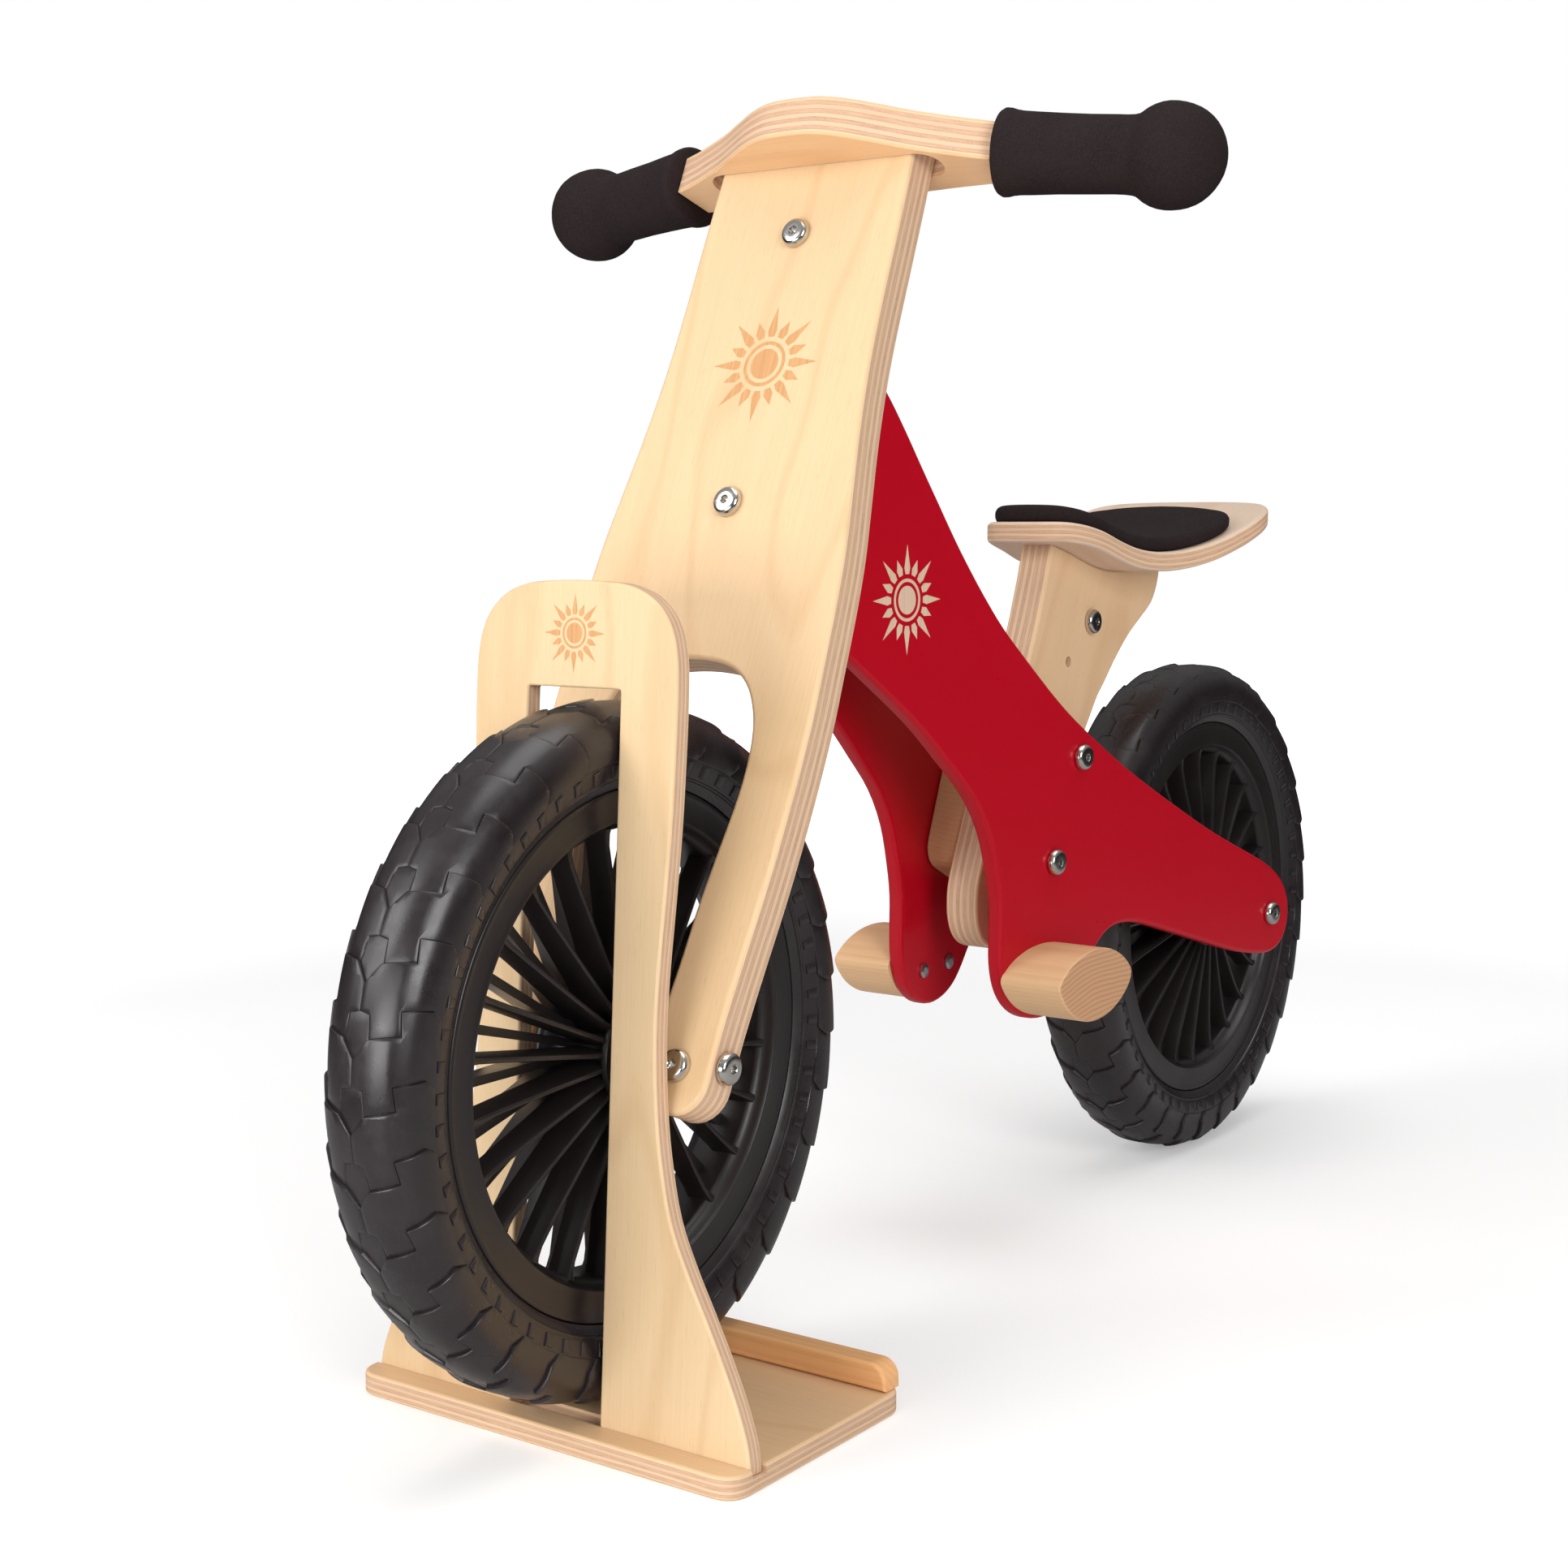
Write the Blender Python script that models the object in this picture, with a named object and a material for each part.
"""Wooden balance bike parked with its front wheel in a plywood stand.

Metres. +X is the rider's left, -Y is forward, +Z is up. The origin is on the
floor under the middle of the whole assembly.
"""
import bpy
import bmesh
from math import sin, cos, pi, radians, atan
from mathutils import Vector, Matrix

# ---------------------------------------------------------------- dimensions
GAP = 0.0004                 # air left between neighbouring pieces

WHEELBASE = 0.556
MID = WHEELBASE / 2
WHEEL_R = 0.150
TYRE_HALF = 0.0235
RIM_SEAT_R = 0.1143
SPOKES = 24                  # per side
HUB_HALF = 0.0268

BASE_W, BASE_T = 0.210, 0.010
BASE_FRONT, BASE_BACK = -0.0495, 0.0755      # behind the front axle
UPRIGHT_T = 0.009
UPRIGHT_LEAN = radians(3.2)
UPRIGHT_FRONT = -0.0365
SLOT_HALF = 0.0252
SLOT_TOP = 0.3160
DADO = 0.0035
BAR_FRONT, BAR_D, BAR_H = 0.0625, 0.0125, 0.0125

AXLE_Z = BASE_T + WHEEL_R + GAP              # front axle height in the stand
HEAD_ANGLE = radians(23.1)                   # fork plate and steering axis lean
PLY_T = 0.0195                               # fork plate, handlebar, seat post
PIVOT_BACK = 0.028                           # steering axis behind the fork plate middle
BOLT_HIGH, BOLT_LOW = 0.3838, 0.2494         # head bolts, measured up the fork plate
BAR_LOW, BAR_HIGH = 0.4195, 0.4390
GRIP_IN = (0.0865, 0.0113)
GRIP_SWEEP = radians(12)
GRIP_LEN, GRIP_BALL = 0.1035, 0.0235

PLATE_T = 0.009
PLATE_X = 0.0597                             # outer face at the rear axle
SPLAY = 0.088                                # sideways metres per metre of length
REAR_Z = WHEEL_R

POST_TILT = radians(24.5)
POST_LOW = (0.3225, 0.2068)                  # lower frame bolt
BOLT_PITCH = 0.0594
SADDLE_T, PAD_T = 0.011, 0.008
PEG_OUT = 0.0698

AXLE_R, AXLE_HOLE = 0.0040, 0.0044
BOLT_R, BOLT_HOLE = 0.0035, 0.0039
HEAD_R, HEAD_H = 0.0071, 0.0040

FORK = Matrix.Translation((0, -MID, AXLE_Z)) @ Matrix.Rotation(-HEAD_ANGLE, 4, 'X')
REAR = Matrix.Translation((0, MID, REAR_Z))
FRONT = Matrix.Translation((0, -MID, AXLE_Z))
SIDE = Matrix.Translation((0, -MID, 0))       # y measured back from the front axle
PIVOT = FORK @ Vector((0, PIVOT_BACK, BOLT_LOW))

COLOURS = {
    'birch': ((0.80, 0.62, 0.40), 0.45, 0.0),
    'pine': ((0.78, 0.56, 0.33), 0.5, 0.0),
    'red': ((0.50, 0.006, 0.014), 0.3, 0.0),
    'steel': ((0.62, 0.61, 0.58), 0.28, 1.0),
    'rubber': ((0.022, 0.022, 0.024), 0.6, 0.0),
    'plastic': ((0.016, 0.016, 0.018), 0.42, 0.0),
    'foam': ((0.012, 0.012, 0.013), 0.9, 0.0),
}


# ------------------------------------------------------------------ helpers
def clear_scene():
    for ob in list(bpy.data.objects):
        bpy.data.objects.remove(ob, do_unlink=True)


def material(name, kind):
    colour, rough, metal = COLOURS[kind]
    mat = bpy.data.materials.new(name)
    mat.use_nodes = True
    bsdf = mat.node_tree.nodes['Principled BSDF']
    bsdf.inputs['Base Color'].default_value = (*colour, 1)
    bsdf.inputs['Roughness'].default_value = rough
    bsdf.inputs['Metallic'].default_value = metal
    return mat


def mesh_object(name, bm, place=None):
    """Object from a bmesh, moved by place, with clean outward normals."""
    if place is not None:
        bm.transform(place)
    bmesh.ops.remove_doubles(bm, verts=bm.verts, dist=1e-6)
    bmesh.ops.recalc_face_normals(bm, faces=bm.faces)
    me = bpy.data.meshes.new(name)
    bm.to_mesh(me)
    bm.free()
    ob = bpy.data.objects.new(name, me)
    bpy.context.collection.objects.link(ob)
    return ob


def arc(cx, cy, r, a0, a1, n):
    """Points on a circular arc, angles in degrees."""
    return [(cx + r * cos(radians(a0 + (a1 - a0) * i / n)),
             cy + r * sin(radians(a0 + (a1 - a0) * i / n))) for i in range(n + 1)]


def spline(points, per=4, closed=False):
    """Catmull-Rom curve through the points."""
    n = len(points)
    out = []
    last = n if closed else n - 1
    for i in range(last):
        if closed:
            p0, p1, p2, p3 = (Vector(points[(i + k) % n]) for k in (-1, 0, 1, 2))
        else:
            p0, p1 = Vector(points[max(i - 1, 0)]), Vector(points[i])
            p2, p3 = Vector(points[i + 1]), Vector(points[min(i + 2, n - 1)])
        for s in range(per):
            t = s / per
            q = 0.5 * (2 * p1 + (p2 - p0) * t + (2 * p0 - 5 * p1 + 4 * p2 - p3) * t * t
                       + (3 * p1 - p0 - 3 * p2 + p3) * t ** 3)
            out.append((q.x, q.y))
    if not closed:
        out.append(tuple(points[-1]))
    return out


def round_corners(points, radius, n=4):
    """Replace every sharp corner of a closed polygon by a small arc."""
    out = []
    m = len(points)
    for i in range(m):
        a, b, c = Vector(points[i - 1]), Vector(points[i]), Vector(points[(i + 1) % m])
        u, v = (a - b), (c - b)
        r = min(radius, u.length * 0.45, v.length * 0.45)
        p, q = b + u.normalized() * r, b + v.normalized() * r
        for k in range(n + 1):
            t = k / n
            w = (1 - t) ** 2 * p + 2 * t * (1 - t) * b + t * t * q
            out.append((w.x, w.y))
    return out


def prism(name, outline, low, high, axis='X', place=None, chamfer=0.0):
    """Closed outline swept along one axis between low and high.

    low and high may be functions of the outline point, so a side may slant.
    """
    f0 = low if callable(low) else (lambda u, v: low)
    f1 = high if callable(high) else (lambda u, v: high)
    put = {'X': lambda u, v, w: (w, u, v), 'Y': lambda u, v, w: (u, w, v),
           'Z': lambda u, v, w: (u, v, w)}[axis]
    inner = inset(outline, chamfer) if chamfer else outline
    rings = []
    bm = bmesh.new()
    steps = [(inner, f0, 0.0), (outline, f0, chamfer), (outline, f1, -chamfer), (inner, f1, 0.0)]
    if not chamfer:
        steps = [steps[1], steps[2]]
    for pts, f, off in steps:
        rings.append([bm.verts.new(put(u, v, f(u, v) + off)) for u, v in pts])
    n = len(outline)
    for a, b in zip(rings[:-1], rings[1:]):
        for i in range(n):
            j = (i + 1) % n
            bm.faces.new((a[i], a[j], b[j], b[i]))
    bm.faces.new(rings[0])
    bm.faces.new(rings[-1])
    return mesh_object(name, bm, place)


def inset(outline, d):
    """Outline moved inward by d along its vertex normals."""
    n = len(outline)
    area = sum(outline[i - 1][0] * outline[i][1] - outline[i][0] * outline[i - 1][1]
               for i in range(n))
    side = 1 if area > 0 else -1
    out = []
    for i in range(n):
        a, b, c = Vector(outline[i - 1]), Vector(outline[i]), Vector(outline[(i + 1) % n])
        e, f = (b - a).normalized(), (c - b).normalized()
        na, nb = Vector((-e.y, e.x)) * side, Vector((-f.y, f.x)) * side
        m = (na + nb)
        m = m / max(m.length_squared / 2, 0.5)
        out.append(tuple(b + m * d))
    return out


def lathe(name, profile, steps=24, axis='X', place=None):
    """Closed profile of (along, radius) turned about an axis."""
    bm = bmesh.new()
    rings = []
    for a, r in profile:
        if r < 1e-7:
            rings.append([bm.verts.new(turn(a, 0, 0, axis))])
            continue
        rings.append([bm.verts.new(turn(a, r * cos(2 * pi * k / steps), r * sin(2 * pi * k / steps),
                                        axis)) for k in range(steps)])
    m = len(rings)
    for i in range(m):
        a, b = rings[i], rings[(i + 1) % m]
        if len(a) == 1 and len(b) == 1:
            continue
        for k in range(steps):
            j = (k + 1) % steps
            quad = [a[k % len(a)], a[j % len(a)], b[j % len(b)], b[k % len(b)]]
            face = []
            for v in quad:
                if v not in face:
                    face.append(v)
            if len(face) > 2:
                bm.faces.new(face)
    return mesh_object(name, bm, place)


def turn(a, u, v, axis):
    return {'X': (a, u, v), 'Y': (v, a, u), 'Z': (u, v, a)}[axis]


def boolean(ob, others, operation='DIFFERENCE'):
    """Apply Booleans with other objects and drop those objects."""
    for other in others:
        mod = ob.modifiers.new('cut', 'BOOLEAN')
        mod.object = other
        mod.operation = operation
        mod.solver = 'EXACT'
    graph = bpy.context.evaluated_depsgraph_get()
    me = bpy.data.meshes.new_from_object(ob.evaluated_get(graph))
    ob.modifiers.clear()
    ob.data = me
    for other in others:
        bpy.data.objects.remove(other, do_unlink=True)
    bm = bmesh.new()
    bm.from_mesh(me)
    bmesh.ops.remove_doubles(bm, verts=bm.verts, dist=2e-6)
    bmesh.ops.dissolve_degenerate(bm, edges=bm.edges, dist=1e-6)
    bm.to_mesh(me)
    bm.free()
    return ob


def hole(r, a, b, axis='X', at=(0, 0, 0), place=None, steps=14):
    """Round cutter from a to b along an axis through the point at."""
    local = Matrix.Translation(at)
    full = place @ local if place is not None else local
    return lathe('cutter', [(a, 0), (a, r), (b, r), (b, 0)], steps, axis, full)


def box(name, x, y, z, place=None):
    bm = bmesh.new()
    corners = [bm.verts.new((x[i], y[j], z[k])) for i in (0, 1) for j in (0, 1) for k in (0, 1)]
    for f in ((0, 1, 3, 2), (4, 6, 7, 5), (0, 4, 5, 1), (2, 3, 7, 6), (0, 2, 6, 4), (1, 5, 7, 3)):
        bm.faces.new([corners[i] for i in f])
    return mesh_object(name, bm, place)


def finish(ob, name, mat, anchor=(0, 0, 0), parent=None, angle=35):
    """Name, colour, smooth shading, and put the origin at the anchor."""
    ob.name = name
    ob.data.name = name
    ob.data.materials.clear()
    ob.data.materials.append(mat)
    for poly in ob.data.polygons:
        poly.use_smooth = True
        poly.material_index = 0
    ob.data.set_sharp_from_angle(angle=radians(angle))
    ob.data.transform(Matrix.Translation(-Vector(anchor)))
    ob.location = Vector(anchor) - (parent.location if parent else Vector())
    ob.parent = parent
    return ob


def button_profile(length, r, head=HEAD_R, high=HEAD_H, both=False):
    """Screw turned about its axis: domed head with a socket at 0, shank to -length."""
    dome = [(0, head), (high * 0.6, head * 0.93), (high, head * 0.58), (high, 0.0028),
            (high - 0.0024, 0.0027), (high - 0.0024, 0)]
    if both:
        other = [(-length - a, rr) for a, rr in dome]
        return list(reversed(dome)) + [(0, r), (-length, r)] + other
    return list(reversed(dome)) + [(0, r), (-length + 0.0006, r), (-length, r * 0.85), (-length, 0)]


# -------------------------------------------------------------------- stand
def stand_parts(mats, body):
    place = SIDE
    lean = Matrix.Translation((0, UPRIGHT_FRONT, BASE_T - DADO + GAP)) @ Matrix.Rotation(
        -UPRIGHT_LEAN, 4, 'X')
    w = BASE_W / 2
    outline = round_corners([(-w, BASE_FRONT), (w, BASE_FRONT), (w, BASE_BACK), (-w, BASE_BACK)],
                            0.010, 6)
    base = prism('base', outline, 0, BASE_T, 'Z', place, chamfer=0.0012)
    groove = box('cutter', (-0.2, 0.2), (-GAP, UPRIGHT_T + GAP), (-GAP, 0.02), place @ lean)
    screws = [(s * 0.075, UPRIGHT_FRONT + UPRIGHT_T / 2 + 0.0004, 0) for s in (-1, 1)]
    screws += [(s * 0.075, BAR_FRONT + BAR_D / 2, 0) for s in (-1, 1)]
    cuts = [groove]
    for at in screws:
        cuts.append(hole(0.0020, -0.01, 0.03, 'Z', at, place))
        cuts.append(lathe('cutter', [(-0.01, 0), (-0.01, 0.0038), (0.0008, 0.0038), (0.0026, 0.0019),
                                     (0.0026, 0)], 20, 'Z', place @ Matrix.Translation(at)))
    finish(boolean(base, cuts), 'stand_base', mats['stand_base'], parent=body)

    # upright: half outline (x, height up the board from its foot)
    up = 1 / cos(UPRIGHT_LEAN)
    foot = BASE_T - DADO
    half = [(0.0, 0.3605), (0.012, 0.3602), (0.025, 0.3592), (0.036, 0.3560), (0.0450, 0.3500),
            (0.0510, 0.3415), (0.0540, 0.3300), (0.0548, 0.3150), (0.0545, 0.2900), (0.0535, 0.2600),
            (0.0515, 0.2300), (0.0493, 0.2000), (0.0487, 0.1750), (0.0500, 0.1500), (0.0530, 0.1270),
            (0.0590, 0.1020), (0.0680, 0.0830), (0.0785, 0.0650), (0.0880, 0.0480), (0.0955, 0.0330),
            (0.1010, 0.0190), (0.1030, 0.0100)]
    side = spline(half, 1) + [(0.1030, foot)]
    slot = [(SLOT_HALF, foot), (SLOT_HALF, SLOT_TOP)]
    ring = side + slot
    points = [(x, (z - foot) * up) for x, z in ring]
    outline = points + [(-x, z) for x, z in reversed(points) if x > 1e-6]
    board = prism('upright', outline, 0, UPRIGHT_T, 'Y', place @ lean, chamfer=0.0011)
    cuts = [hole(0.0015, 0, 0.027, 'Z', at, place, 16) for at in screws[:2]]
    finish(boolean(board, cuts), 'stand_upright', mats['stand_upright'], parent=body)

    y0, y1 = BAR_FRONT, BAR_FRONT + BAR_D
    z0, z1 = BASE_T + GAP, BASE_T + BAR_H
    section = [(y0, z0), (y1, z0)] + arc(y1 - 0.002, z1 - 0.002, 0.002, 0, 90, 3)
    section += arc(y0 + 0.004, z1 - 0.004, 0.004, 90, 180, 5)
    bar = prism('bar', section, -0.1026, 0.1026, 'X', place, chamfer=0.0006)
    ends = []
    for s in (-1, 1):
        corner = [(s * 0.12, z1 + 0.01), (s * 0.0946, z1 + 0.01)]
        corner += [(s * (0.0946 + 0.0082 * sin(radians(a))), z1 - 0.0080 + 0.0082 * cos(radians(a)))
                   for a in range(0, 91, 10)] + [(s * 0.12, z1 - 0.0080)]
        ends.append(prism('cutter', corner, y0 - 0.01, y1 + 0.01, 'Y', place))
    cuts = [hole(0.0015, 0, 0.0195, 'Z', at, place, 16) for at in screws[2:]]
    finish(boolean(bar, ends + cuts), 'stand_stop_bar', mats['stand_stop_bar'], parent=body)

    for i, at in enumerate(screws):
        tip = 0.025 if i < 2 else 0.0185
        shape = [(0.0005, 0), (0.0005, 0.0034), (0.0009, 0.0034), (0.0027, 0.0013), (tip - 0.003, 0.0012),
                 (tip, 0.0003), (tip, 0)]
        name = ('upright', 'bar')[i // 2] + ('_right', '_left')[i % 2]
        screw = lathe('screw', shape, 12, 'Z', place @ Matrix.Translation(at))
        finish(screw, 'stand_screw_' + name, mats['screws'], parent=body)


# --------------------------------------------------------------- fork body
def fork_outline():
    """Half width up the plate; returned as outer edge, arch and prong ends."""
    outer = [(0.0536, BAR_HIGH), (0.0538, 0.420), (0.0545, 0.400), (0.0552, 0.372), (0.0560, 0.340),
             (0.0573, 0.315), (0.0603, 0.285), (0.0645, 0.255), (0.0680, 0.230), (0.0700, 0.205),
             (0.0713, 0.175), (0.0722, 0.148), (0.0716, 0.115), (0.0697, 0.078), (0.0665, 0.042),
             (0.0642, 0.012), (0.0637, -0.006)]
    inner = [(0.0326, -0.006), (0.0326, 0.020), (0.0345, 0.040), (0.0368, 0.066), (0.0400, 0.090),
             (0.0428, 0.110), (0.0438, 0.125), (0.0430, 0.140), (0.0400, 0.152), (0.0345, 0.1625),
             (0.0270, 0.1695), (0.0180, 0.1733), (0.0080, 0.1747), (0.0, 0.1750)]
    tip = arc(0.04815, -0.0085, 0.01555, 0, -180, 10)
    return spline(outer, 1) + tip + spline(inner, 2)


def fork_parts(mats, body, anchor):
    half = fork_outline()
    outline = half + [(-x, z) for x, z in reversed(half[:-1])]
    plate = prism('fork', outline, -PLY_T / 2, PLY_T / 2, 'Y', FORK, chamfer=0.0018)
    cuts = [hole(AXLE_HOLE, -0.08, 0.08, 'X', (0, 0, 0), FORK)]
    for s in (BOLT_LOW, BOLT_HIGH):
        cuts.append(hole(BOLT_HOLE, -0.02, 0.02, 'Y', (0, 0, s), FORK))
    for side in (-1, 1):
        cuts.append(hole(0.0029, -0.02, -0.0052, 'Y', (side * 0.0468, 0, -0.0035), FORK))
    finish(boolean(plate, cuts), 'fork_plate', mats['fork_plate'], anchor, body)
    handlebar(mats, body, anchor)

    names = {BOLT_HIGH: 'upper', BOLT_LOW: 'lower'}
    for s, label in names.items():
        place = FORK @ Matrix.Translation((0, -PLY_T / 2 - 0.0002, s)) @ Matrix.Rotation(pi, 4, 'X')
        bolt = lathe('bolt', button_profile(0.0274, BOLT_R), 16, 'Y', place)
        finish(bolt, 'head_bolt_' + label, mats['bolts'], anchor, body)
        eye_bracket(mats, body, anchor, s, label)

    rod = [(BOLT_LOW - 0.0135, 0), (BOLT_LOW - 0.0135, 0.0040), (BOLT_LOW - 0.0125, 0.0048),
           (BOLT_HIGH + 0.0100, 0.0048), (BOLT_HIGH + 0.0100, 0.0078), (BOLT_HIGH + 0.0125, 0.0078),
           (BOLT_HIGH + 0.0140, 0.0060), (BOLT_HIGH + 0.0140, 0)]
    rod = lathe('rod', rod, 16, 'Z', FORK @ Matrix.Translation((0, PIVOT_BACK, 0)))
    finish(rod, 'pivot_rod', mats['pivot_rod'], anchor, body)

    reach = 0.0646
    place = FORK @ Matrix.Translation((reach, 0, 0))
    axle = lathe('axle', button_profile(2 * reach, AXLE_R, both=True), 16, 'X', place)
    finish(axle, 'front_axle', mats['bolts'], anchor, body)
    for side, label in ((-1, 'right'), (1, 'left')):
        ring = [(0.0272, 0.0047), (0.0272, 0.0082), (0.0322, 0.0082), (0.0322, 0.0047)]
        spacer = lathe('spacer', [(side * a, r) for a, r in ring], 16, 'X', FORK)
        finish(spacer, 'front_spacer_' + label, mats['spacers'], anchor, body)
        place = FORK @ Matrix.Translation((side * 0.0468, -PLY_T / 2 - 0.0002, -0.0035)) @ \
            Matrix.Rotation(pi, 4, 'X')
        bolt = lathe('bolt', button_profile(0.0042, 0.0025), 16, 'Y', place)
        finish(bolt, 'prong_bolt_' + label, mats['bolts'], anchor, body)


def eye_bracket(mats, body, anchor, s, label):
    """Steel eye behind the fork plate that holds the pivot rod."""
    back = PLY_T / 2 + GAP
    flange = round_corners([(-0.0110, s - 0.0110), (0.0110, s - 0.0110), (0.0110, s + 0.0110),
                            (-0.0110, s + 0.0110)], 0.004, 4)
    ob = prism('eye', flange, back, back + 0.0025, 'Y', FORK)
    neck = box('neck', (-0.0060, 0.0060), (back + 0.001, 0.0215), (s - 0.0070, s + 0.0070), FORK)
    ring = lathe('ring', [(s - 0.0085, 0), (s - 0.0085, 0.0088), (s + 0.0085, 0.0088), (s + 0.0085, 0)],
                 32, 'Z', FORK @ Matrix.Translation((0, PIVOT_BACK, 0)))
    boolean(ob, [neck, ring], 'UNION')
    bore = hole(0.0051, -0.1, 0.6, 'Z', (0, PIVOT_BACK, 0), FORK)
    thread = hole(BOLT_HOLE, 0.0, 0.0184, 'Y', (0, 0, s), FORK)
    boolean(ob, [bore, thread])
    finish(ob, 'eye_bracket_' + label, mats['eye_brackets'], anchor, body)


def handlebar(mats, body, anchor):
    front = [(0.0, -0.0362), (0.014, -0.0352), (0.027, -0.0305), (0.040, -0.0232), (0.053, -0.0155),
             (0.066, -0.0090), (0.078, -0.0035), (0.0884, 0.0006)]
    back = [(0.0841, 0.0214), (0.078, 0.0212), (0.060, 0.0214), (0.040, 0.0222), (0.0, 0.0228)]
    half = spline(front, 2) + spline(back, 1)
    outline = half + [(-x, y) for x, y in reversed(half[1:-1])]
    board = prism('bar', outline, BAR_LOW, BAR_HIGH, 'Z', FORK, chamfer=0.0022)
    mid = (BAR_LOW + BAR_HIGH) / 2
    stubs = []
    for side in (-1, 1):
        place = FORK @ Matrix.Translation((side * GRIP_IN[0], GRIP_IN[1], mid)) @ \
            Matrix.Rotation(side * GRIP_SWEEP, 4, 'Z')
        stub = [(-0.006, 0), (-0.006, 0.0082), (0.064, 0.0082), (0.066, 0.0070), (0.066, 0)]
        stubs.append(lathe('stub', [(side * a, r) for a, r in stub], 16, 'X', place))
        grip = [(0.0005, 0.0088), (0.0005, 0.0180), (0.0018, 0.0193), (0.0045, 0.0194),
                (0.0130, 0.0181), (0.0520, 0.0177)]
        centre = GRIP_LEN - GRIP_BALL
        grip += [(0.0590, 0.0184), (0.0650, 0.0203)]
        grip += [(centre + GRIP_BALL * sin(radians(a)), GRIP_BALL * cos(radians(a)))
                 for a in (-20, 2, 24, 46, 68)] + [(GRIP_LEN, 0)]
        grip += [(0.0685, 0), (0.0685, 0.0088)]
        ob = lathe('grip', [(side * a, r) for a, r in grip], 20, 'X', place)
        name = 'grip_left' if side > 0 else 'grip_right'
        finish(ob, name, mats['grips'], anchor, body, 50)
    boolean(board, stubs, 'UNION')
    mortise = box('mortise', (-0.0566, 0.0566), (-PLY_T / 2 - GAP, PLY_T / 2 + GAP), (0.38, 0.47), FORK)
    finish(boolean(board, [mortise]), 'handlebar', mats['handlebar'], anchor, body)


# ------------------------------------------------------------------- wheels
def tyre_profile():
    side = [(0.0168, 0.1148), (0.0205, 0.1192), (TYRE_HALF, 0.1325), (0.0214, 0.1418),
            (0.0142, 0.1478), (0.0, WHEEL_R)]
    return side + [(-x, r) for x, r in reversed(side[:-1])]


def rim_profile():
    half = [(0.0160, RIM_SEAT_R), (0.0169, 0.1130), (0.0169, 0.1004), (0.0130, 0.0984), (0.0105, 0.0962)]
    return half + [(-x, r) for x, r in reversed(half)]


def spoke_set():
    """All spokes as separate wedge blades in one helper object."""
    bm = bmesh.new()
    for side in (-1, 1):
        for k in range(SPOKES):
            turn_by = 2 * pi * (k + (0.5 if side < 0 else 0.0)) / SPOKES
            rot = Matrix.Rotation(turn_by, 4, 'X')
            r0, r1 = 0.0185, 0.0975
            pts = []
            for r, deep, wide in ((r0, 0.0178, 0.0019), (r1, 0.0102, 0.0021)):
                low = 0.0010
                pts.append([bm.verts.new(rot @ Vector((side * x, t, r))) for x, t in
                            ((low, -wide), (deep, -wide * 0.6), (deep, wide * 0.6), (low, wide))])
            for a, b in zip(pts[:-1], pts[1:]):
                for i in range(4):
                    j = (i + 1) % 4
                    bm.faces.new((a[i], a[j], b[j], b[i]))
            bm.faces.new(pts[0])
            bm.faces.new(pts[-1])
    return mesh_object('spokes', bm)


def wheel_parts(mats, body, place, anchor, prefix):
    tyre = lathe('tyre', tyre_profile(), 56, 'X', place)
    finish(tyre, prefix + '_tyre', mats['tyres'], anchor, body)
    rim = lathe('rim', rim_profile(), 48, 'X')
    hub = [(0.0190, 0.0240), (0.0202, 0.0226), (0.0205, 0.0150), (0.0258, 0.0130), (0.0258, 0.0080)]
    hub = hub + [(-a, r) for a, r in reversed(hub)]
    hub = lathe('hub', hub, 24, 'X')
    spokes = spoke_set()
    boolean(rim, [spokes, hub], 'UNION')
    rim.data.transform(place)
    finish(rim, prefix + '_rim', mats['rims'], anchor, body)
    sleeve = [(-HUB_HALF, 0.0045), (-HUB_HALF, 0.0076), (HUB_HALF, 0.0076), (HUB_HALF, 0.0045)]
    sleeve = lathe('sleeve', sleeve, 16, 'X', place)
    finish(sleeve, prefix + '_hub_sleeve', mats['hub_sleeves'], anchor, body)


# --------------------------------------------------------------- frame body
def plate_face(u):
    """Distance of the outer plate face from the middle at length u."""
    return PLATE_X + SPLAY * (u - WHEELBASE)


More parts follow.
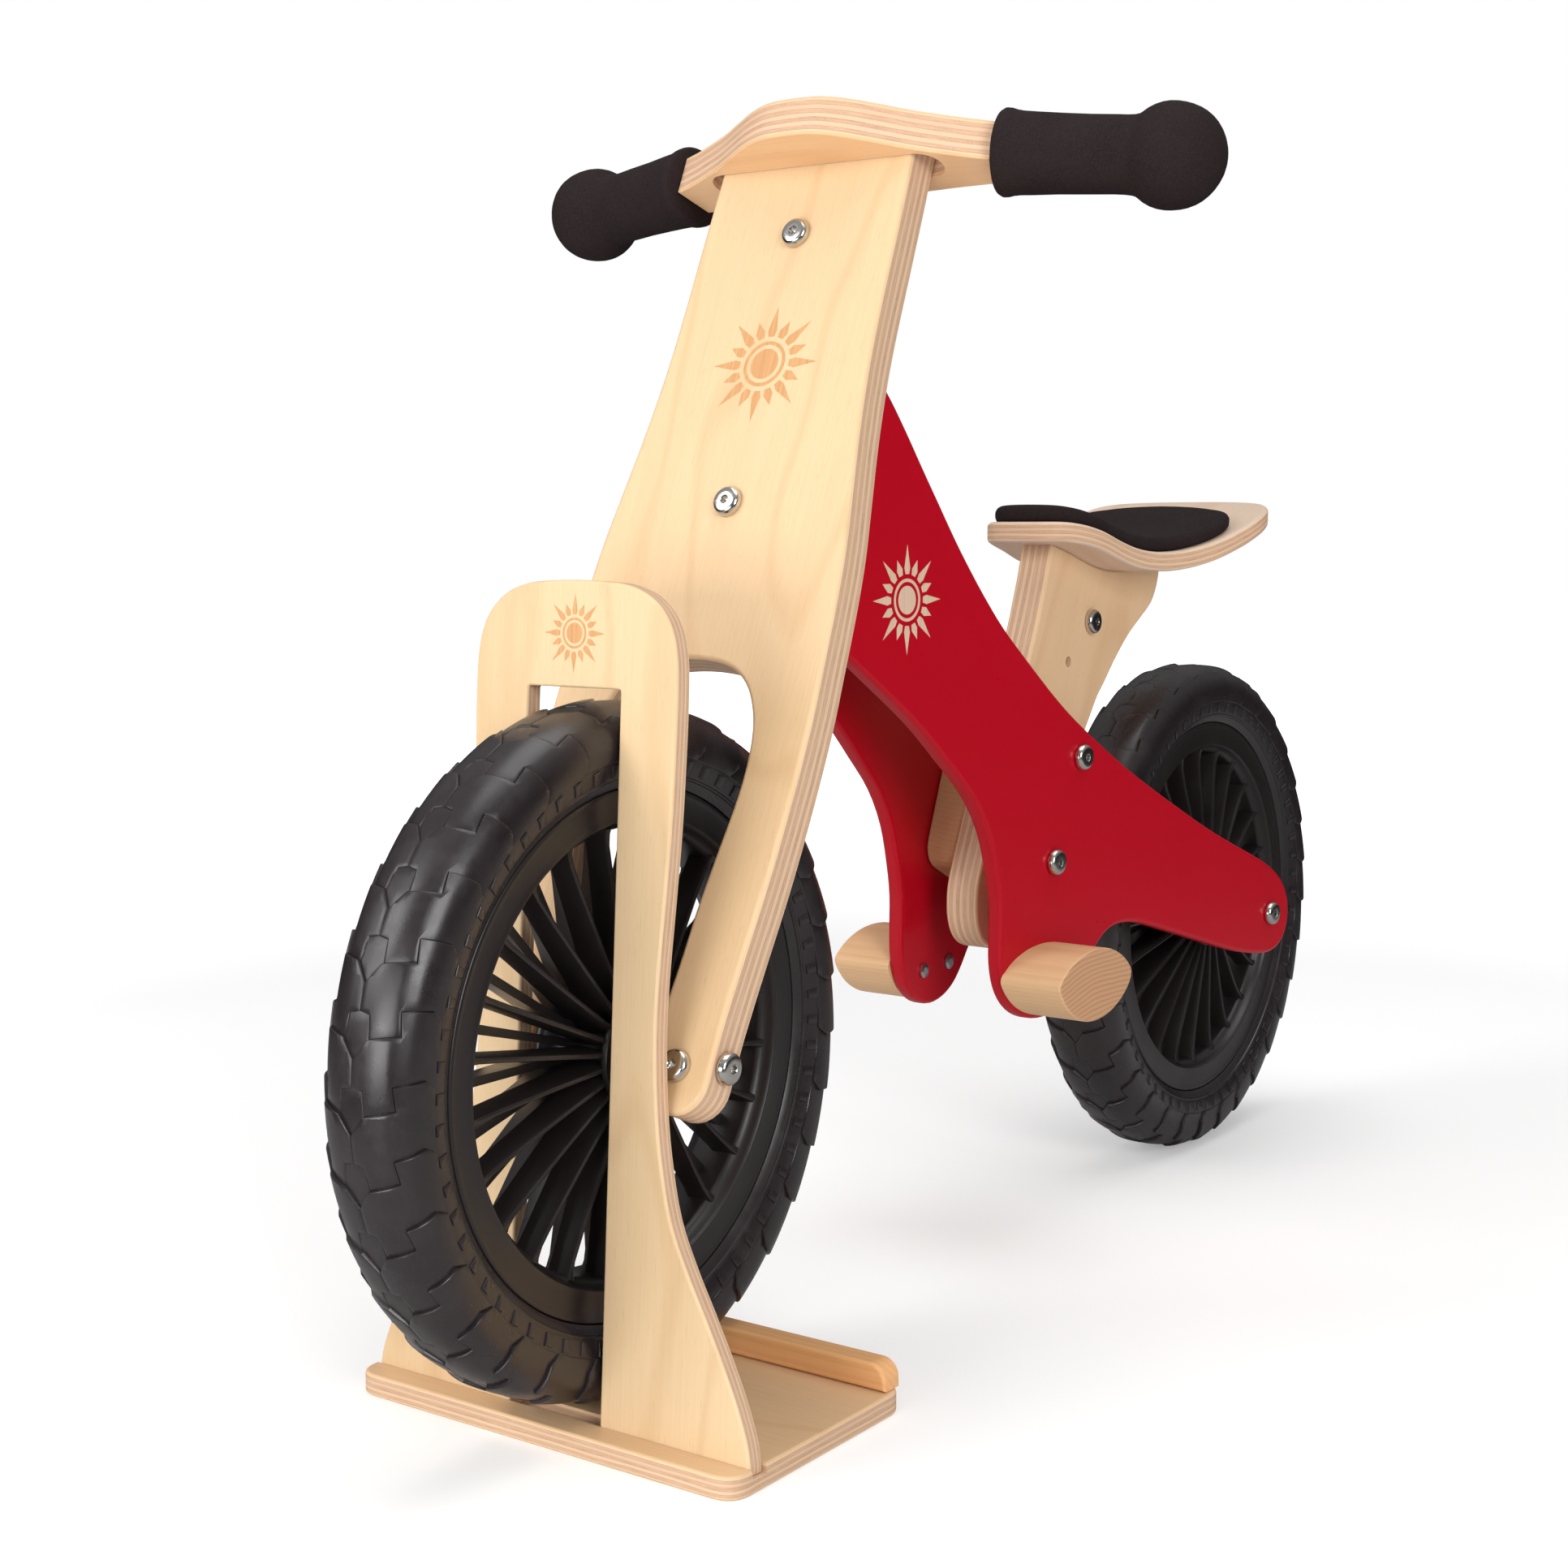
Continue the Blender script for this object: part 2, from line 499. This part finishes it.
def plate_outline():
    head = [(0.1268, 0.3930), (0.1345, 0.4110), (0.1421, 0.4290), (0.1490, 0.4450)]
    top = [(0.1530, 0.4540), (0.1575, 0.4605), (0.1636, 0.4610), (0.1700, 0.4555), (0.1818, 0.4435),
           (0.1945, 0.4280), (0.2075, 0.4110), (0.2208, 0.3940), (0.2343, 0.3768), (0.2481, 0.3607),
           (0.2622, 0.3455), (0.2766, 0.3316), (0.2913, 0.3195), (0.3063, 0.3076), (0.3216, 0.2958),
           (0.3372, 0.2848), (0.3531, 0.2749), (0.3693, 0.2654), (0.3860, 0.2560), (0.4029, 0.2470),
           (0.4202, 0.2385), (0.4379, 0.2300), (0.4561, 0.2215), (0.4745, 0.2130), (0.4934, 0.2048),
           (0.5128, 0.1970), (0.5325, 0.1894), (0.5500, 0.1822), (0.5650, 0.1740), (0.5755, 0.1640),
           (0.5803, 0.1520), (0.5790, 0.1400), (0.5735, 0.1315), (0.5650, 0.1268), (0.5540, 0.1255),
           (0.5348, 0.1280), (0.5151, 0.1323), (0.4957, 0.1378), (0.4768, 0.1434), (0.4583, 0.1488),
           (0.4401, 0.1542), (0.4224, 0.1594), (0.4050, 0.1636), (0.3890, 0.1650), (0.3760, 0.1625),
           (0.3650, 0.1555), (0.3560, 0.1470), (0.3480, 0.1385), (0.3380, 0.1305), (0.3250, 0.1255),
           (0.3110, 0.1243), (0.2970, 0.1275), (0.2860, 0.1345), (0.2785, 0.1450), (0.2750, 0.1580),
           (0.2748, 0.1720), (0.2748, 0.1880), (0.2712, 0.2055), (0.2638, 0.2270), (0.2500, 0.2470),
           (0.2295, 0.2652), (0.2040, 0.2862), (0.1715, 0.3080), (0.1470, 0.3238), (0.1300, 0.3350),
           (0.1180, 0.3460), (0.1150, 0.3570), (0.1180, 0.3700)]
    return spline(head + top, 1, closed=True)


def post_curve():
    """Seat post outline below the saddle, and the saddle profile above it."""
    front = [(0.3640, 0.3560), (0.3555, 0.3340), (0.3430, 0.3060), (0.3300, 0.2770), (0.3150, 0.2440),
             (0.3010, 0.2130), (0.2945, 0.1975), (0.2925, 0.1870), (0.2935, 0.1750), (0.2990, 0.1650),
             (0.3100, 0.1590), (0.3250, 0.1585), (0.3390, 0.1640), (0.3490, 0.1760), (0.3570, 0.1930),
             (0.3700, 0.2180), (0.3900, 0.2450), (0.4120, 0.2710), (0.4240, 0.2865), (0.4330, 0.2950),
             (0.4430, 0.3050), (0.4530, 0.3140), (0.4640, 0.3225), (0.4780, 0.3310), (0.4900, 0.3390),
             (0.4965, 0.3480), (0.4995, 0.3560)]
    return front


SADDLE = [(0.348, 0.3752), (0.362, 0.3748), (0.385, 0.3705), (0.405, 0.3648), (0.425, 0.3603),
          (0.445, 0.3585), (0.465, 0.3597), (0.485, 0.3640), (0.505, 0.3710), (0.525, 0.3785),
          (0.545, 0.3850), (0.560, 0.3890)]


def saddle_height(y):
    """Underside of the saddle board at length y."""
    pts = SADDLE
    if y <= pts[0][0]:
        return pts[0][1]
    for i in range(len(pts) - 1):
        if y <= pts[i + 1][0]:
            p0 = Vector(pts[max(i - 1, 0)])
            p1, p2 = Vector(pts[i]), Vector(pts[i + 1])
            p3 = Vector(pts[min(i + 2, len(pts) - 1)])
            t = (y - p1.x) / (p2.x - p1.x)
            m1, m2 = (p2.y - p0.y) / (p2.x - p0.x), (p3.y - p1.y) / (p3.x - p1.x)
            d = p2.x - p1.x
            return ((2 * t ** 3 - 3 * t * t + 1) * p1.y + (t ** 3 - 2 * t * t + t) * d * m1
                    + (3 * t * t - 2 * t ** 3) * p2.y + (t ** 3 - t * t) * d * m2)
    return pts[-1][1]


SADDLE_HALF = [(0.0000, 0.3490), (0.0120, 0.3505), (0.0220, 0.3560), (0.0290, 0.3655),
               (0.0325, 0.3790), (0.0340, 0.3960), (0.0350, 0.4140), (0.0368, 0.4310),
               (0.0400, 0.4480), (0.0452, 0.4650), (0.0514, 0.4820), (0.0572, 0.4980),
               (0.0612, 0.5140), (0.0620, 0.5290), (0.0585, 0.5430), (0.0495, 0.5520),
               (0.0350, 0.5562), (0.0180, 0.5576), (0.0000, 0.5580)]
PAD_HALF = [(0.0000, 0.3525), (0.0105, 0.3540), (0.0195, 0.3592), (0.0256, 0.3680),
            (0.0288, 0.3805), (0.0304, 0.3970), (0.0316, 0.4150), (0.0334, 0.4320),
            (0.0366, 0.4490), (0.0417, 0.4660), (0.0470, 0.4810), (0.0510, 0.4940),
            (0.0512, 0.5050), (0.0455, 0.5130), (0.0345, 0.5175), (0.0190, 0.5197),
            (0.0000, 0.5205)]


def bent_board(name, half, low, high, round_top, place):
    """Board of plan outline half, following the saddle profile."""
    plan = mirrored_plan(spline(half, 1))
    inner = inset(plan, round_top)
    bm = bmesh.new()
    layers = [(inner, low, 0.0), (plan, low, min(round_top, 0.0015)),
              (plan, high, -round_top), (inner, high, 0.0)]
    rings = []
    for pts, level, off in layers:
        rings.append([bm.verts.new((x, y, saddle_height(y) + level + off)) for x, y in pts])
    n = len(plan)
    for a, b in zip(rings[:-1], rings[1:]):
        for i in range(n):
            j = (i + 1) % n
            bm.faces.new((a[i], a[j], b[j], b[i]))
    m = n // 2
    for ring in (rings[0], rings[-1]):
        for i in range(m):
            quad = [ring[i], ring[i + 1], ring[(n - i - 1) % n], ring[(n - i) % n]]
            face = []
            for v in quad:
                if v not in face:
                    face.append(v)
            if len(face) > 2:
                bm.faces.new(face)
    return mesh_object(name, bm, place)


def mirrored_plan(half):
    """Full plan from a half outline that starts and ends on the middle line."""
    return half + [(-x, y) for x, y in reversed(half[1:-1])]


def frame_parts(mats, body, anchor):
    post_dir = (sin(POST_TILT), cos(POST_TILT))
    low = POST_LOW
    high = (low[0] + post_dir[0] * BOLT_PITCH, low[1] + post_dir[1] * BOLT_PITCH)
    outline = plate_outline()
    for side, label in ((1, 'left'), (-1, 'right')):
        outer = (lambda u, v, s=side: s * plate_face(u))
        inner = (lambda u, v, s=side: s * (plate_face(u) - PLATE_T))
        pair = (inner, outer) if side > 0 else (outer, inner)
        plate = prism('plate', outline, *pair, 'X', SIDE, chamfer=0.0016)
        cuts = [hole(BOLT_HOLE, -0.2, 0.2, 'X', (0, y, z), SIDE) for y, z in (low, high)]
        cuts.append(hole(AXLE_HOLE, -0.2, 0.2, 'X', (0, WHEELBASE, REAR_Z), SIDE))
        for y, z in ((0.2995, 0.1446), (0.3295, 0.1446)):
            cuts.append(hole(0.0024, -0.2, 0.2, 'X', (0, y, z), SIDE, 16))
        finish(boolean(plate, cuts), 'frame_plate_' + label, mats['frame_plates'], anchor, body)
        seat_block(mats, body, anchor, side, label, low, high)
        foot_peg(mats, body, anchor, side, label)
        ring = [(0.0272, 0.0047), (0.0272, 0.0082), (0.0490, 0.0082), (0.0490, 0.0047)]
        spacer = lathe('spacer', [(side * a, r) for a, r in ring], 16, 'X', REAR)
        finish(spacer, 'rear_spacer_' + label, mats['spacers'], anchor, body)

    head_block(mats, body, anchor)
    seat(mats, body, anchor, low, high)
    for (y, z), name, r in ((low, 'frame_bolt_lower', BOLT_R), (high, 'frame_bolt_upper', BOLT_R),
                            ((WHEELBASE, REAR_Z), 'rear_axle', AXLE_R)):
        finish(splayed_bolt(y, z, r), name, mats['bolts'], anchor, body)


def splayed_bolt(y, z, r):
    """Straight rod whose two heads sit square on the splayed plates."""
    face = plate_face(y)
    rod = lathe('rod', [(-face, 0), (-face, r), (face, r), (face, 0)], 16, 'X',
                SIDE @ Matrix.Translation((0, y, z)))
    heads = []
    for side in (-1, 1):
        dome = [(0, 0), (0, HEAD_R), (HEAD_H * 0.6, HEAD_R * 0.93), (HEAD_H, HEAD_R * 0.58),
                (HEAD_H, 0.0028), (HEAD_H - 0.0024, 0.0027), (HEAD_H - 0.0024, 0)]
        place = SIDE @ Matrix.Translation((side * (face + 0.0003), y, z)) @ \
            Matrix.Rotation(-side * atan(SPLAY), 4, 'Z')
        heads.append(lathe('head', [(side * a, q) for a, q in dome], 16, 'X', place))
    return boolean(rod, heads, 'UNION')


def seat_block(mats, body, anchor, side, label, low, high):
    """Solid wood wedge between the seat post and a frame plate."""
    place = Vector((sin(POST_TILT), cos(POST_TILT)))
    across = Vector((cos(POST_TILT), -sin(POST_TILT)))
    start = Vector(low)
    w, top, bottom = 0.0215, BOLT_PITCH + 0.018, -0.0115
    local = [(-w + 0.012, bottom)] + [(w - 0.012, bottom)] + arc(w - 0.012, bottom + 0.012, 0.012, -80, 0, 4)
    local += arc(w - 0.006, top - 0.006, 0.006, 0, 90, 3) + arc(-w + 0.006, top - 0.006, 0.006, 90, 180, 3)
    local += arc(-w + 0.012, bottom + 0.012, 0.012, 180, 260, 4)
    outline = [tuple(start + across * a + place * b) for a, b in local]
    near = side * (PLY_T / 2 + GAP)
    far = (lambda u, v: side * (plate_face(u) - PLATE_T - GAP))
    ends = (near, far) if side > 0 else (far, near)
    block = prism('block', outline, *ends, 'X', SIDE, chamfer=0.0010)
    cuts = [hole(BOLT_HOLE, -0.2, 0.2, 'X', (0, y, z), SIDE) for y, z in (low, high)]
    finish(boolean(block, cuts), 'seat_block_' + label, mats['seat_blocks'], anchor, body)


def foot_peg(mats, body, anchor, side, label):
    lens = [(0.2752, 0.1500), (0.2800, 0.1550), (0.2880, 0.1595), (0.3000, 0.1632), (0.3140, 0.1645),
            (0.3280, 0.1630), (0.3410, 0.1585), (0.3510, 0.1520), (0.3545, 0.1465), (0.3520, 0.1405),
            (0.3440, 0.1340), (0.3330, 0.1290), (0.3200, 0.1266), (0.3070, 0.1270), (0.2950, 0.1305),
            (0.2850, 0.1365), (0.2778, 0.1440)]
    near = (lambda u, v: side * (plate_face(u) + GAP))
    ends = (near, side * PEG_OUT) if side > 0 else (side * PEG_OUT, near)
    peg = prism('peg', spline(lens, 1, closed=True), *ends, 'X', SIDE, chamfer=0.0012)
    cuts = []
    for k, y in enumerate((0.2995, 0.3295)):
        inner = plate_face(y) - PLATE_T
        at = (0, y, 0.1446)
        cuts.append(hole(0.0021, 0.0 if side > 0 else -0.0595, 0.0595 if side > 0 else 0.0, 'X', at,
                         SIDE, 16))
        a = inner - 0.0006
        shape = [(a - 0.0014, 0), (a - 0.0014, 0.0020), (a - 0.0008, 0.0040), (a, 0.0041), (a, 0.0017),
                 (a + 0.0270, 0.0016), (a + 0.0285, 0.0006), (a + 0.0285, 0)]
        screw = lathe('screw', [(side * p, r) for p, r in shape], 12, 'X', SIDE @ Matrix.Translation(at))
        finish(screw, 'peg_screw_%s_%s' % (label, ('front', 'rear')[k]), mats['screws'], anchor, body)
    finish(boolean(peg, cuts), 'foot_peg_' + label, mats['foot_pegs'], anchor, body)


def head_block(mats, body, anchor):
    """Wooden block joining the plates, with the barrel that turns on the rod."""
    s0, s1, s2 = BOLT_LOW + 0.0125, 0.3385, BOLT_HIGH - 0.0100
    corners = [(0.0270, s0), (0.0640, s0), (0.0640, s1 - 0.022), (0.0500, s1), (0.0270, s1)]
    world = [FORK @ Vector((0, b, s)) for b, s in corners]
    outline = [(v.y + MID, v.z) for v in world]
    wide = (lambda u, v: plate_face(u) - PLATE_T - GAP)
    block = prism('block', outline, lambda u, v: -wide(u, v), wide, 'X', SIDE)
    sb = s0 - 0.0012
    barrel = lathe('barrel', [(sb, 0), (sb, 0.0115), (sb + 0.001, 0.0125), (s2 - 0.001, 0.0125), (s2, 0.0115),
                              (s2, 0)], 26, 'Z', FORK @ Matrix.Translation((0, PIVOT_BACK, 0)))
    boolean(block, [barrel], 'UNION')
    bore = hole(0.0053, 0.1, 0.5, 'Z', (0, PIVOT_BACK, 0), FORK)
    finish(boolean(block, [bore]), 'head_block', mats['head_block'], anchor, body)


def seat(mats, body, anchor, low, high):
    curve = post_curve()
    lower = spline(curve, 1)
    y0, y1 = curve[-1][0], curve[0][0]
    n = 12
    top = [(y0 + (y1 - y0) * i / n, 0) for i in range(n + 1)]
    top = [(y, saddle_height(y) - GAP) for y, _ in top]
    post = prism('post', lower[:-1] + top[:-1] + [top[-1]], -PLY_T / 2, PLY_T / 2, 'X', SIDE,
                 chamfer=0.0013)
    cross, spare, last = (0.4145, 0.3305), (0.3890, 0.3090), (0.3070, 0.1785)
    cuts = [hole(BOLT_HOLE, -0.05, 0.05, 'X', (0, *p), SIDE) for p in (low, high, cross)]
    cuts += [hole(0.0030, -0.05, 0.05, 'X', (0, *p), SIDE, 20) for p in (spare, last)]
    screws = []
    for label, y in (('front', 0.3900), ('rear', 0.4560)):
        z = saddle_height(y) + SADDLE_T
        at = Matrix.Translation((0, y, z))
        cuts.append(hole(0.0020, -0.036, 0.004, 'Z', (0, y, z), SIDE, 16))
        shape = [(-0.0335, 0), (-0.0335, 0.0004), (-0.0310, 0.0016), (-0.0045, 0.0017), (-0.0022, 0.0036),
                 (-0.0018, 0.0036), (-0.0018, 0)]
        screw = lathe('screw', shape, 12, 'Z', SIDE @ at)
        screws.append(finish(screw, 'saddle_screw_' + label, mats['screws'], anchor, body))
    finish(boolean(post, cuts), 'seat_post', mats['seat_post'], anchor, body)

    board = bent_board('saddle', SADDLE_HALF, 0.0, SADDLE_T, 0.0016, SIDE)
    cuts = []
    for y in (0.3900, 0.4560):
        z = saddle_height(y) + SADDLE_T
        cuts.append(hole(0.0022, -0.03, 0.004, 'Z', (0, y, z), SIDE, 16))
        cuts.append(lathe('cutter', [(0.006, 0), (0.006, 0.0042), (-0.0019, 0.0042), (-0.0048, 0.0020),
                                     (-0.0048, 0)], 20, 'Z', SIDE @ Matrix.Translation((0, y, z))))
    finish(boolean(board, cuts), 'saddle_board', mats['saddle_board'], anchor, body)
    pad = bent_board('pad', PAD_HALF, SADDLE_T + GAP, SADDLE_T + GAP + PAD_T, 0.0030, SIDE)
    finish(pad, 'saddle_pad', mats['saddle_pad'], anchor, body, 50)

    reach = PLY_T / 2 + 0.0003
    bolt = lathe('bolt', button_profile(2 * reach, BOLT_R, both=True), 16, 'X',
                 SIDE @ Matrix.Translation((reach, *cross)))
    finish(bolt, 'saddle_bolt', mats['bolts'], anchor, body)


# --------------------------------------------------------------------- main
def main():
    clear_scene()
    kinds = {
        'stand_base': 'birch', 'stand_upright': 'birch', 'stand_stop_bar': 'pine', 'fork_plate': 'birch',
        'handlebar': 'birch', 'grips': 'foam', 'bolts': 'steel', 'screws': 'steel',
        'eye_brackets': 'steel', 'pivot_rod': 'steel', 'spacers': 'plastic', 'tyres': 'rubber',
        'rims': 'plastic', 'hub_sleeves': 'steel', 'frame_plates': 'red', 'head_block': 'pine',
        'seat_post': 'birch', 'seat_blocks': 'pine', 'saddle_board': 'birch', 'saddle_pad': 'foam',
        'foot_pegs': 'pine',
    }
    mats = {name: material(name, kind) for name, kind in kinds.items()}
    stand_parts(mats, None)
    front = FRONT @ Vector((0, 0, 0))
    rear = REAR @ Vector((0, 0, 0))
    fork_parts(mats, None, front)
    wheel_parts(mats, None, FORK, front, 'front')
    frame_parts(mats, None, PIVOT)
    wheel_parts(mats, None, REAR, rear, 'rear')


main()
